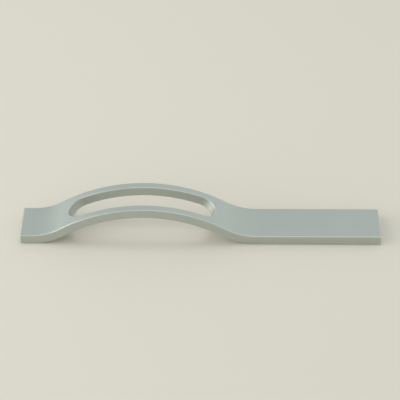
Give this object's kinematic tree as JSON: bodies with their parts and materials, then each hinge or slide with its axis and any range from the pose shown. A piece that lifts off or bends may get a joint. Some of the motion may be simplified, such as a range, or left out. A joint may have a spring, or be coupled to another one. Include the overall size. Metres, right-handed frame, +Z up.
{
  "type": "bridge pull handle",
  "caption": "Bridge pull handle: a flat aluminium bar bent into a slotted arch between a short and a long foot, with tapped fixing holes underneath.",
  "frame": {"origin": "under the middle of the bar's length, on the plane that both feet stand on", "axes": "+X along the bar from the short foot to the long foot, +Y across the bar, +Z up through the crown of the arch"},
  "size_m": [0.24, 0.032, 0.0275],
  "materials": {
    "bar": "fine matt satin, silver grey"
  },
  "bodies": {
    "root": {"pull_handle": "bar"}
  },
  "joints": []
}
